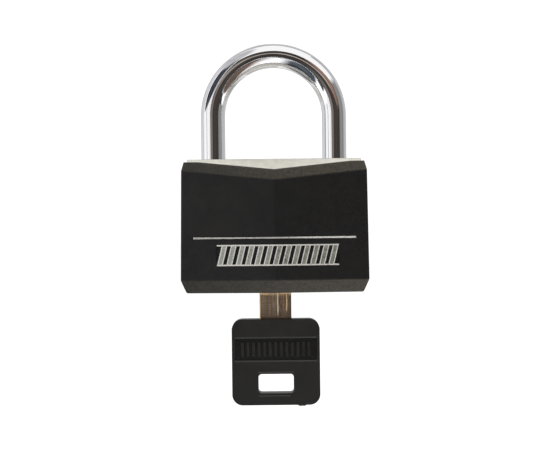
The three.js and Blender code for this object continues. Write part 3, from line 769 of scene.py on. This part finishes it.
def make_strip():
    """The silver line, drawn a little thinner towards its middle."""
    low, high, reach = STRIP_LOW.z, STRIP_HIGH.z, STRIP_HIGH.x
    steps = 12
    top, bottom = [], []
    for i in range(steps + 1):
        place = 2 * i / steps - 1
        pinch = (high - low) / 2 * (0.26 - 0.14 * place) * (1 - place ** 2)
        top.append((place * reach, high - pinch))
        bottom.append((place * reach, low + pinch))
    strip = prism(bottom + top[::-1], "y", -COVER_RIDGE - 1, 0)
    combine(strip, [front_layer(0, 0.3, low - 1, high + 1, -reach - 1, reach + 1)], "INTERSECT")
    strip.name = "silver_strip"
    soften(strip, 0.07, segments=2, angle=50)
    return finish_piece(strip, "case", "silver_trim", LOOKS["silver_trim"], "accent_strip")


def make_badge():
    rail, width, slant = BADGE_RAIL, BADGE_BAR, BADGE_SLANT
    left, right, low, high = BADGE_LOW.x, BADGE_HIGH.x, BADGE_LOW.z, BADGE_HIGH.z
    reach = (-COVER_RIDGE - 1, 0)
    bars = []
    for i in range(BADGE_BARS):
        x = left + i * BADGE_PITCH
        outline = [(x, low), (x + width, low), (x + width + slant, high), (x + slant, high)]
        bars.append(prism(outline, "y", *reach))
    ladder = box(left, right, *reach, low, low + rail)
    join(ladder, box(left, right, *reach, high - rail, high), *bars)
    layer = front_layer(0, 0.3, low - 1, high + 1, left - 1, right + 1)
    combine(ladder, [layer], "INTERSECT")
    ladder.name = "slanted_bar_badge"
    soften(ladder, 0.1, segments=3)
    return finish_piece(ladder, "case", "silver_trim", BADGE_LOOK, "badge")


# ---------- shackle ----------


def shackle_stations():
    """(point, outward direction, radius) along the bar, from the heel's foot over the bow to the toe."""
    stations = []

    def leg(side, z, radius):
        stations.append((Vector((side * LEG_X, 0, z)), Vector((side, 0, 0)), radius))

    for z, radius in (
        (HEEL_Z, WIRE - 0.5), (HEEL_Z + 0.15, WIRE - 0.2), (HEEL_Z + 0.5, WIRE),
        (NECK["bottom"] - 0.15, WIRE), (NECK["bottom"], WIRE - 0.15), (NECK["bottom"], NECK["radius"]),
        (NECK["top"], NECK["radius"]), (NECK["top"], WIRE - 0.15), (NECK["top"] + 0.15, WIRE),
    ):
        leg(-1, z, radius)
    rise = 24
    for i in range(1, rise):
        leg(-1, NECK["top"] + 0.15 + (BOW_Z - NECK["top"] - 0.15) * i / rise, WIRE)
    steps = 96
    for i in range(steps + 1):
        angle = math.pi * i / steps
        out = Vector((-math.cos(angle), 0, math.sin(angle)))
        stations.append((Vector((0, 0, BOW_Z)) + out * LEG_X, out, WIRE))
    toe_edge = TOE_Z + TOE_ROUND
    for i in range(1, rise):
        leg(1, BOW_Z + (toe_edge - BOW_Z) * i / rise, WIRE)
    corner = 6
    for i in range(corner + 1):
        angle = math.pi / 2 * i / corner
        leg(1, toe_edge - TOE_ROUND * math.sin(angle), WIRE - TOE_ROUND + TOE_ROUND * math.cos(angle))
    return stations


def dog_notch(side):
    """The cutter for the notch that a dog enters, with a lower ramp."""
    inside = LEG_X - WIRE
    floor, outside = inside + NOTCH["depth"], inside - BEYOND
    points = [
        (outside, NOTCH["top"]), (floor, NOTCH["top"]), (floor, NOTCH["bottom"]),
        (inside, NOTCH["ramp_end"]), (outside, NOTCH["ramp_end"]),
    ]
    return prism([(side * x, z) for x, z in points], "y", -WIRE - BEYOND, WIRE + BEYOND)


def make_shackle():
    sides = 56
    bm = bmesh.new()
    rings = []
    for point, out, radius in shackle_stations():
        ring = []
        for i in range(sides):
            angle = math.tau * i / sides
            aside = Vector((0, radius * math.sin(angle), 0))
            ring.append(bm.verts.new(point + out * (radius * math.cos(angle)) + aside))
        rings.append(ring)
    for lower, upper in zip(rings, rings[1:]):
        for i in range(sides):
            j = (i + 1) % sides
            bm.faces.new((lower[i], lower[j], upper[j], upper[i]))
    bm.faces.new(rings[0])
    bm.faces.new(rings[-1])
    bmesh.ops.recalc_face_normals(bm, faces=bm.faces)
    bar = as_object("polished_shackle", bm)
    cut(bar, dog_notch(-1), dog_notch(1))
    return finish_piece(bar, "shackle", "shackle_chrome", LOOKS["shackle_chrome"], "shackle")


# ---------- cylinder face ----------


def make_housing():
    radius, bore, low, bevel = HOUSING_RADIUS, PLUG_BORE, HOUSING_LOW.z, 0.2
    shell = turned([
        (radius - bevel, low), (radius, low + bevel),
        (radius, HOUSING_HIGH.z - bevel), (radius - bevel, HOUSING_HIGH.z),
    ], CYLINDER_SIDES, name="lock_cylinder_shell")
    join(shell, box(0, HOUSING_HIGH.x, -RIB_HALF, RIB_HALF, RIB_LOW, PLUG_BACK))
    neck_bore = 3.3
    cut(
        shell,
        turned([(bore + 1.2, low - BEYOND), (bore, low + bevel), (bore, BORE_BACK)], CYLINDER_SIDES),
        turned([(neck_bore, BORE_BACK - 1.3), (neck_bore, HOUSING_HIGH.z + BEYOND)], 48),
        box(CHAMBER_SEAT, 17, -1.9, 1.9, -27.5, -14.5),
        pin_hole(*CYLINDER_PIN),
        *pin_bores(0, CHAMBER_SEAT + 0.5),
    )
    return finish_piece(shell, "case", "brass", LOOKS["brass"], "cylinder_housing")


def pin_bores(x0, x1):
    """The cutters for the pin chambers, one over each of the key's cuts."""
    return [prism(circle(CHAMBER_RADIUS, CHAMBER_SIDES, (0, -depth)), "x", x0, x1) for depth in CUT_DEPTHS]


def make_plug():
    low, bevel = FACE_Z, 0.25
    neck, clip_groove = 3.0, 2.3
    body = turned([
        (PLUG_RADIUS - bevel, low), (PLUG_RADIUS, low + bevel), (PLUG_RADIUS, PLUG_BACK),
        (neck, PLUG_BACK), (neck, -12.5), (clip_groove, -12.5), (clip_groove, -11.8), (neck, -11.8),
        (neck, -11.5),
    ], CYLINDER_SIDES, name="keyed_plug")
    tongue = box(-2.6, 2.6, -1.0, 1.0, -11.7, PLUG_HIGH.z)
    join(body, tongue)
    cut(body, box(-KEY_WIDTH - GAP, KEY_WIDTH + GAP, -1.3, 1.3, low - BEYOND, KEYWAY_BACK))
    join(body, box(WARD_X - WARD_HALF, WARD_X + WARD_HALF, -1.5, -0.85, low, KEYWAY_BACK))
    cut(body, *pin_bores(0, PLUG_RADIUS + BEYOND))
    soften(body, 0.06, segments=2, angle=50)
    return finish_piece(body, "plug", "brass", LOOKS["brass"], "plug")


# ---------- key ----------


def blade_outline():
    tang, head_top = BLADE_HIGH.x, HEAD_HIGH.z
    points = [
        (-tang, BLADE_LOW.z), (tang, BLADE_LOW.z), (tang, head_top - GAP), (KEY_WIDTH, head_top - GAP),
        (KEY_WIDTH, -CUT_DEPTHS[0] - 2.2),
    ]
    for depth, edge in zip(CUT_DEPTHS, CUT_EDGES):
        points += [(edge, -depth - 0.8), (edge, -depth + 0.8)]
    tip = BLADE_HIGH.z
    points += [
        (CUT_EDGES[-1] - 0.4, tip), (-KEY_WIDTH + 1.2, tip), (-KEY_WIDTH, tip - 1.2),
        (-KEY_WIDTH, head_top - GAP), (-tang, head_top - GAP),
    ]
    return points


def groove_cutter(left, right, deep, left_end, right_end):
    """A milled groove in the blade's front, with slanted walls, that rises out of the metal at its end."""
    wall, run_out, over = 0.12, 3.0, 0.5
    floor, outside = -KEY_THICK + deep, -KEY_THICK - over
    spread = wall / deep * over
    beyond = run_out * over / deep
    points = [
        (left + wall, floor, 0), (right - wall, floor, 0),
        (left - spread, outside, 0), (right + spread, outside, 0),
        (left + wall, floor, left_end + run_out), (right - wall, floor, right_end + run_out),
        (left - spread, outside, left_end - beyond), (right + spread, outside, right_end - beyond),
    ]
    return hull("groove", points, 0.02, segments=1)


def make_blade():
    blade = prism(blade_outline(), "y", -KEY_THICK, KEY_THICK, name="key_blade_plated")
    soften(blade, 0.14, segments=3)
    ends = (FACE_Z - LEFT_END, FACE_Z - RIGHT_END)
    cut(blade, groove_cutter(GROOVE_LEFT, GROOVE_RIGHT, GROOVE_DEPTH, *ends))
    return finish_piece(blade, "key", "nickel_brass", KEY_BLADE_LOOK, "key_blade")


def gate_mark(bottom):
    """The small uneven stub where the plastic entered the mould."""
    outline = [(4.9, 0.3), (4.95, -0.12), (5.5, -0.4), (6.2, -0.34), (6.7, -0.38), (7.2, -0.1), (7.2, 0.3)]
    return prism([(x, bottom + z) for x, z in outline], "y", -1.0, 1.0)


def make_head():
    width, thick = HEAD_HIGH.x - HEAD_LOW.x, HEAD_HIGH.y - HEAD_RIB
    top, bottom = HEAD_HIGH.z, HEAD_LOW.z + GATE_MARK
    outline = rounded_rectangle(width, top - bottom, HEAD_CORNER, (0, (top + bottom) / 2), steps=12)
    head = prism(outline, "y", -thick, thick, name="moulded_key_head")
    join(head, gate_mark(bottom))
    hole_centre = (0, top - HOLE_TOP - HOLE_HEIGHT / 2)
    hole = rounded_rectangle(HOLE_WIDTH, HOLE_HEIGHT, HOLE_CORNER, hole_centre, steps=6)
    cut(head, prism(hole, "y", -thick - BEYOND, thick + BEYOND))
    soften(head, 0.38, segments=4, angle=60)
    extras = []
    for face in (-1, 1):
        near, far = sorted((face * (thick - PANEL_SINK), face * (thick + BEYOND)))
        cut(head, box(-PANEL_HALF, PANEL_HALF, near, far, top - PANEL_BOTTOM, top - PANEL_TOP))
        extras += grip_ribs(face, thick) + thin_ribs(face, thick)
    join(head, *extras)
    tang_half, tang_top = BLADE_HIGH.x + GAP, top - GAP + 0.06
    slot, mouth, mouth_half = KEY_THICK + 0.15, KEY_THICK + 0.04, KEY_WIDTH + 0.05
    cut(head, box(-tang_half, tang_half, -slot, slot, BLADE_LOW.z - GAP, tang_top))
    cut(head, box(-mouth_half, mouth_half, -mouth, mouth, tang_top - 0.1, top + BEYOND))
    soften(head, 0.05, segments=2, angle=50)
    return finish_piece(head, "key", "key_plastic", LOOKS["key_plastic"], "key_head")


def grip_ribs(face, thick):
    """Plain upright ribs in the sunk panel of one face of the head."""
    root, crest = sorted((face * (thick - 0.4), face * (thick - 0.08)))
    margin, half = 0.9, 0.3
    low, high = HEAD_HIGH.z - PANEL_BOTTOM + margin, HEAD_HIGH.z - PANEL_TOP - margin
    ribs = []
    for i in range(GRIP_RIBS):
        x = -GRIP_HALF + 2 * GRIP_HALF * i / (GRIP_RIBS - 1)
        ribs.append(box(x - half, x + half, root, crest, low, high))
    return ribs


def thin_ribs(face, thick):
    """Level ribs along the panel's edges, and above and below the ring hole."""
    root, crest = sorted((face * (thick - 0.2), face * (thick + HEAD_RIB)))
    top = HEAD_HIGH.z
    ribs = []
    for z in (top - PANEL_TOP + 0.2, top - PANEL_BOTTOM - 0.2):
        ribs.append(box(-PANEL_HALF, PANEL_HALF, root, crest, z - 0.13, z + 0.13))
    hole_top = top - HOLE_TOP
    for z, right in ((hole_top + 0.45, 4.1), (hole_top - HOLE_HEIGHT - 0.6, 3.3)):
        ribs.append(box(-4.2, right, root, crest, z - 0.1, z + 0.1))
    return ribs


# ---------- what stays as the CAD made it ----------


def dress_cad_nodes():
    slots = {part["node"]: part["material_slot"] for part in frame["record"]["subparts"]}
    for name, node in frame["nodes"].items():
        node.data.materials.clear()
        node.data.materials.append(LOOKS[slots[name]])


# ---------- studio ----------

CAMERA_DISTANCE = 0.300
CAMERA_X, CAMERA_Z = 0.0001, -0.03705
CAMERA_LENS, CAMERA_SENSOR = 83.3, 36     # millimetres
CAMERA_ROLL = 0.6                         # degrees
FLOOR_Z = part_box("key_head")[0].z - 0.036
BOW_CENTRE = TOP + (BOW_Z + LEG_X) * MM


def make_camera():
    data = bpy.data.cameras.new("camera")
    data.sensor_width = CAMERA_SENSOR
    data.lens = CAMERA_LENS
    data.clip_start = 0.01
    camera = bpy.data.objects.new("camera", data)
    camera.location = (CAMERA_X, -CAMERA_DISTANCE, CAMERA_Z)
    camera.rotation_euler = (math.radians(90), math.radians(CAMERA_ROLL), 0)
    bpy.context.scene.collection.objects.link(camera)
    bpy.context.scene.camera = camera


def make_floor():
    bm = bmesh.new()
    bmesh.ops.create_grid(bm, x_segments=4, y_segments=4, size=6.0)
    floor = as_object("floor", bm)
    floor.location.z = FLOOR_Z
    floor.data.materials.append(floor_paint())


def make_world():
    world = bpy.data.worlds.new("white_studio")
    world.use_nodes = True
    background = world.node_tree.nodes["Background"]
    background.inputs["Color"].default_value = (1, 1, 1, 1)
    background.inputs["Strength"].default_value = 1.12
    bpy.context.scene.world = world


def area_light(name, location, target, size, power):
    data = bpy.data.lights.new(name, "AREA")
    data.shape = "SQUARE"
    data.size = size
    data.energy = power
    light = bpy.data.objects.new(name, data)
    light.location = location
    light.rotation_euler = (Vector(target) - Vector(location)).to_track_quat("-Z", "Y").to_euler()
    light.visible_camera = False
    light.visible_glossy = False
    bpy.context.scene.collection.objects.link(light)


def reflector(name, centre, across, up, colors, patch_mm=160, fade=None):
    """A card that only shows in reflections, from its centre and two half-size vectors.

    Its light varies between two colours over patches. It can fade out at its rim or at its top.
    """
    bm = bmesh.new()
    across, up = Vector(across), Vector(up)
    corners = (-across - up, across - up, across + up, up - across)
    bm.faces.new([bm.verts.new(corner) for corner in corners])
    card = as_object(name, bm)
    card.location = centre
    look = Nodes(name)
    nodes = look.tree.nodes
    nodes.remove(nodes["Principled BSDF"])
    emission = nodes.new("ShaderNodeEmission")
    patches = look.noise(patch_mm, stretch=(1, 1, 2.2), detail=4)
    look.link(look.ramp(patches, [(0.35, colors[0]), (0.65, colors[1])]), emission.inputs["Color"])
    surface = nodes["Material Output"].inputs["Surface"]
    if fade is None:
        look.link(emission.outputs["Emission"], surface)
    else:
        place = look.measure(up)
        if fade == "rim":
            square = look.calculate("POWER", look.measure(across), 2)
            place = look.calculate("SQRT", look.calculate("MULTIPLY_ADD", place, place, square))
        ragged = look.calculate("MULTIPLY_ADD", look.noise(patch_mm / 2, detail=3), 0.5, place)
        mix = nodes.new("ShaderNodeMixShader")
        look.link(look.ranged(ragged, 1, 0, 0.95, 1.25), mix.inputs["Fac"])
        look.link(nodes.new("ShaderNodeBsdfTransparent").outputs["BSDF"], mix.inputs[1])
        look.link(emission.outputs["Emission"], mix.inputs[2])
        look.link(mix.outputs["Shader"], surface)
    card.data.materials.append(look.material)
    card.visible_camera = False
    card.visible_diffuse = False
    card.visible_shadow = False
    card.visible_transmission = False
    card.visible_volume_scatter = False


def wall_card(name, start, end, low, high, colors, fade=None):
    """An upright card that stands between two points of the plan."""
    (x0, y0), (x1, y1) = start, end
    centre = ((x0 + x1) / 2, (y0 + y1) / 2, (low + high) / 2)
    reflector(name, centre, ((x1 - x0) / 2, (y1 - y0) / 2, 0), (0, 0, (high - low) / 2), colors, fade=fade)


def toward(azimuth, elevation, distance):
    """The place that lies in a direction from the bow, in degrees, at a distance in front of it."""
    side = distance * math.tan(math.radians(azimuth))
    rise = distance * math.tan(math.radians(elevation)) / math.cos(math.radians(azimuth))
    return side, -distance, BOW_CENTRE + rise


def front_card(name, azimuths, elevations, distance, colors, fade=None):
    """A card on the camera's side that spans directions from the bow, in degrees."""
    x0, y, z0 = toward(azimuths[0], elevations[0], distance)
    x1, y, z1 = toward(azimuths[1], elevations[1], distance)
    centre = ((x0 + x1) / 2, y, (z0 + z1) / 2)
    reflector(name, centre, ((x1 - x0) / 2, 0, 0), (0, 0, (z1 - z0) / 2), colors, 50, fade)


def floor_card(name, x_span, y_span, colors, fade=None):
    (x0, x1), (y0, y1) = x_span, y_span
    centre = ((x0 + x1) / 2, (y0 + y1) / 2, FLOOR_Z + 0.002)
    reflector(name, centre, ((x1 - x0) / 2, 0, 0), (0, (y1 - y0) / 2, 0), colors, 140, fade)


def make_studio():
    front = 0.6
    left, right = (front * math.tan(math.radians(angle)) for angle in (-26, 53))
    top = BOW_CENTRE + front * math.tan(math.radians(41.5))
    shade_pair = (0.035, 0.03, 0.027), (0.07, 0.062, 0.055)
    wall_card("dark_room", (left, -front), (right, -front), FLOOR_Z, top, shade_pair)
    front_card("dim_side", (-26.5, -9), (-10, 30), front - 0.004, ((0.12, 0.112, 0.1), (0.19, 0.178, 0.16)))
    front_card("dark_upper", (-52, -30), (12, 54), front, ((0.02, 0.022, 0.025), (0.09, 0.095, 0.11)))
    corner_colors = (0.02, 0.022, 0.03), (0.09, 0.1, 0.13)
    reflector("dark_corner", (-0.62, -0.34, 0.44), (0, -0.26, 0.07), (0, 0, 0.3), corner_colors)
    floor_card("dark_floor", (left, right), (-front, -0.225), ((0.035, 0.035, 0.04), (0.075, 0.075, 0.08)))
    floor_card("blue_floor", (-0.17, -0.012), (-0.34, 0.2), ((0.025, 0.03, 0.04), (0.11, 0.13, 0.155)), "rim")
    floor_card("brown_floor", (-0.01, 0.32), (-0.42, 0.02), ((0.1, 0.075, 0.06), (0.24, 0.17, 0.135)), "rim")
    floor_card("grey_floor", (0.075, 0.5), (-0.06, 0.4), ((0.25, 0.24, 0.22), (0.45, 0.44, 0.41)), "rim")
    grey_pair = (0.24, 0.24, 0.235), (0.33, 0.33, 0.325)
    wall_card("grey_wall", (right, -front), (0.82, 0.15), FLOOR_Z, 0.6, grey_pair, "top")
    wall_card("pale_wall", (0.82, 0.15), (0.82, 0.6), FLOOR_Z, 1.4, ((0.45, 0.45, 0.45), (0.6, 0.6, 0.6)))
    wall_card("back_wall", (0.82, 0.6), (-0.6, 0.6), FLOOR_Z, 2.0, ((0.5, 0.5, 0.51), (0.75, 0.75, 0.78)))
    wall_card("left_wall", (-0.6, 0.6), (-0.6, 0.02), FLOOR_Z, 0.9, ((0.6, 0.6, 0.63), (0.85, 0.85, 0.9)))
    floor_card("back_floor", (-0.6, 0.82), (0.06, 0.6), ((0.5, 0.49, 0.47), (0.75, 0.74, 0.7)))
    front_card("line_level", (-24, 44), (12.6, 14.4), front - 0.01, ((0.4, 0.34, 0.31), (0.75, 0.66, 0.6)))
    orange_pair = (0.22, 0.13, 0.095), (0.42, 0.25, 0.195)
    front_card("orange_patch", (15, 50), (7, 31), front - 0.02, orange_pair, "rim")
    brown_pair = (0.14, 0.117, 0.105), (0.29, 0.25, 0.228)
    front_card("brown_patch", (-28, 0), (-6, 17), front - 0.015, brown_pair, "rim")
    front_card("bar_near", (-36, -34.5), (-8, 40), front, ((0.3, 0.3, 0.31), (0.5, 0.5, 0.51)))
    front_card("bar_far", (-62, -57), (-8, 12), front, ((0.2, 0.2, 0.21), (0.45, 0.45, 0.45)))
    pale_pair = (0.4, 0.4, 0.41), (0.75, 0.75, 0.76)
    reflector("left_ceiling", (-0.36, -0.15, 0.6), (0.25, 0, 0), (0, 0.42, 0), pale_pair, fade="rim")
    reflector("ceiling_bar", (0.1, 0.3, 0.6), (0.9, 0, 0), (0, 0.05, 0), ((0.3, 0.3, 0.28), (0.5, 0.5, 0.48)))
    area_light("key_light", (-0.5, -0.35, 0.45), (0, 0, -0.03), 0.4, 1.6)
    area_light("fill_light", (0.5, -0.1, 0.3), (0, 0, -0.03), 0.4, 1.0)


bpy.context.scene.view_settings.view_transform = "Standard"
make_camera()
make_world()
make_floor()
make_studio()
dress_cad_nodes()
make_block()
make_cover()
make_strip()
make_badge()
make_shackle()
make_housing()
make_plug()
make_blade()
make_head()
